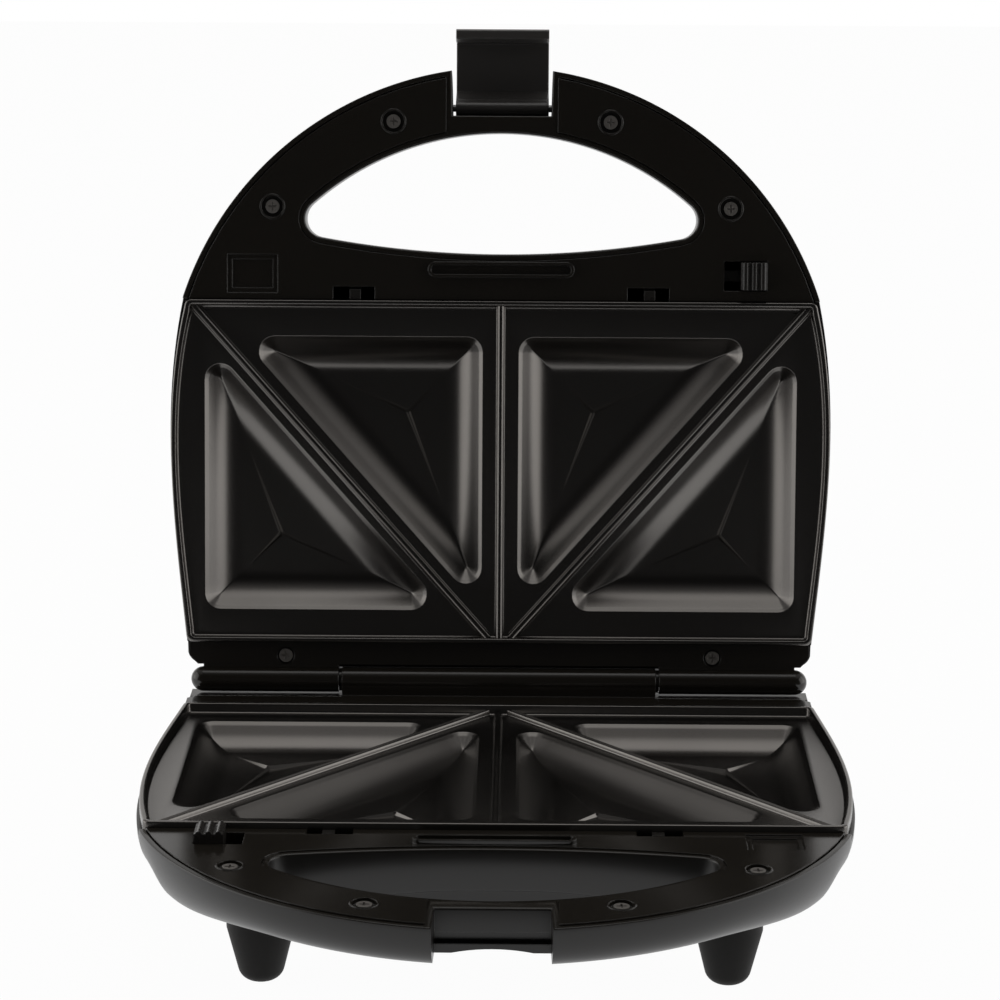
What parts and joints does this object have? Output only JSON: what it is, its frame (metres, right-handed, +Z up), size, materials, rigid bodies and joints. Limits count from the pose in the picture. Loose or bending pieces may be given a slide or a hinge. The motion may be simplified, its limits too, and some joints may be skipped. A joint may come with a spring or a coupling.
{
  "type": "sandwich toaster",
  "caption": "Hinged electric sandwich toaster standing open, with pocketed non-stick plates, a half-round handle with a finger hole and a front clip.",
  "frame": {"origin": "on the ground, in the middle of the four feet", "axes": "+X to the user's right, -Y towards the user and the handle, +Z up; the hinge axis runs along X"},
  "size_m": [0.2322, 0.2712, 0.2837],
  "materials": {
    "shell": "satin moulded heat-resistant plastic",
    "frame": "glossy black moulded plastic",
    "plate": "cast plate with a dark non-stick coating, satin",
    "steel": "drawn and pressed steel",
    "bright_tin": "bright aluminised sheet",
    "black_screw": "blackened steel",
    "foot": "matte black",
    "clip": "matte moulded plastic",
    "slide": "semi-gloss black moulded plastic",
    "ceramic": "white ceramic and mineral-filled plastic",
    "lens": "clear tinted lens"
  },
  "bodies": {
    "base": {"base_shell": "shell", "base_frame": "frame", "lower_plate": "plate", "lower_heating_element": "steel", "lower_element_clips": "steel", "lower_reflector": "bright_tin", "thermostat": "ceramic", "thermal_fuse": "steel", "terminal_block": "ceramic", "cord_inlet_bush": "foot", "hinge_pins": "steel", "front_left_foot": "foot", "front_right_foot": "foot", "rear_left_foot": "foot", "rear_right_foot": "foot", "base_frame_screws": "black_screw", "lower_catch_spring": "steel"},
    "lid": {"lid_shell": "shell", "lid_frame": "frame", "upper_plate": "plate", "upper_heating_element": "steel", "upper_element_clips": "steel", "upper_reflector": "bright_tin", "lid_frame_screws": "black_screw", "hinge_strip_screws": "black_screw", "latch_pin": "steel", "upper_catch_spring": "steel", "pilot_lamp_lenses": "lens", "lamp_holder": "ceramic"},
    "latch": {"latch": "clip"},
    "lower_release": {"lower_release_slide": "slide"},
    "upper_release": {"upper_release_slide": "slide"}
  },
  "joints": [
    {"name": "lid_hinge", "type": "hinge", "parent": "base", "child": "lid", "pos_m": [0, 0.074, 0.05905], "axis": [1, 0, 0], "range_deg": [0, 99.2]},
    {"name": "latch_pivot", "type": "hinge", "parent": "lid", "child": "latch", "pos_m": [0, 0.11564, 0.25643], "axis": [1, 0, 0], "range_deg": [0, 90]},
    {"name": "lower_release", "type": "slide", "parent": "base", "child": "lower_release", "axis": [1, 0, 0], "range_m": [0, 0.0054], "stiffness_N_per_m": 300, "deforming": ["lower_catch_spring"]},
    {"name": "upper_release", "type": "slide", "parent": "lid", "child": "upper_release", "axis": [-1, 0, 0], "range_m": [0, 0.0054], "stiffness_N_per_m": 300, "deforming": ["upper_catch_spring"]}
  ]
}
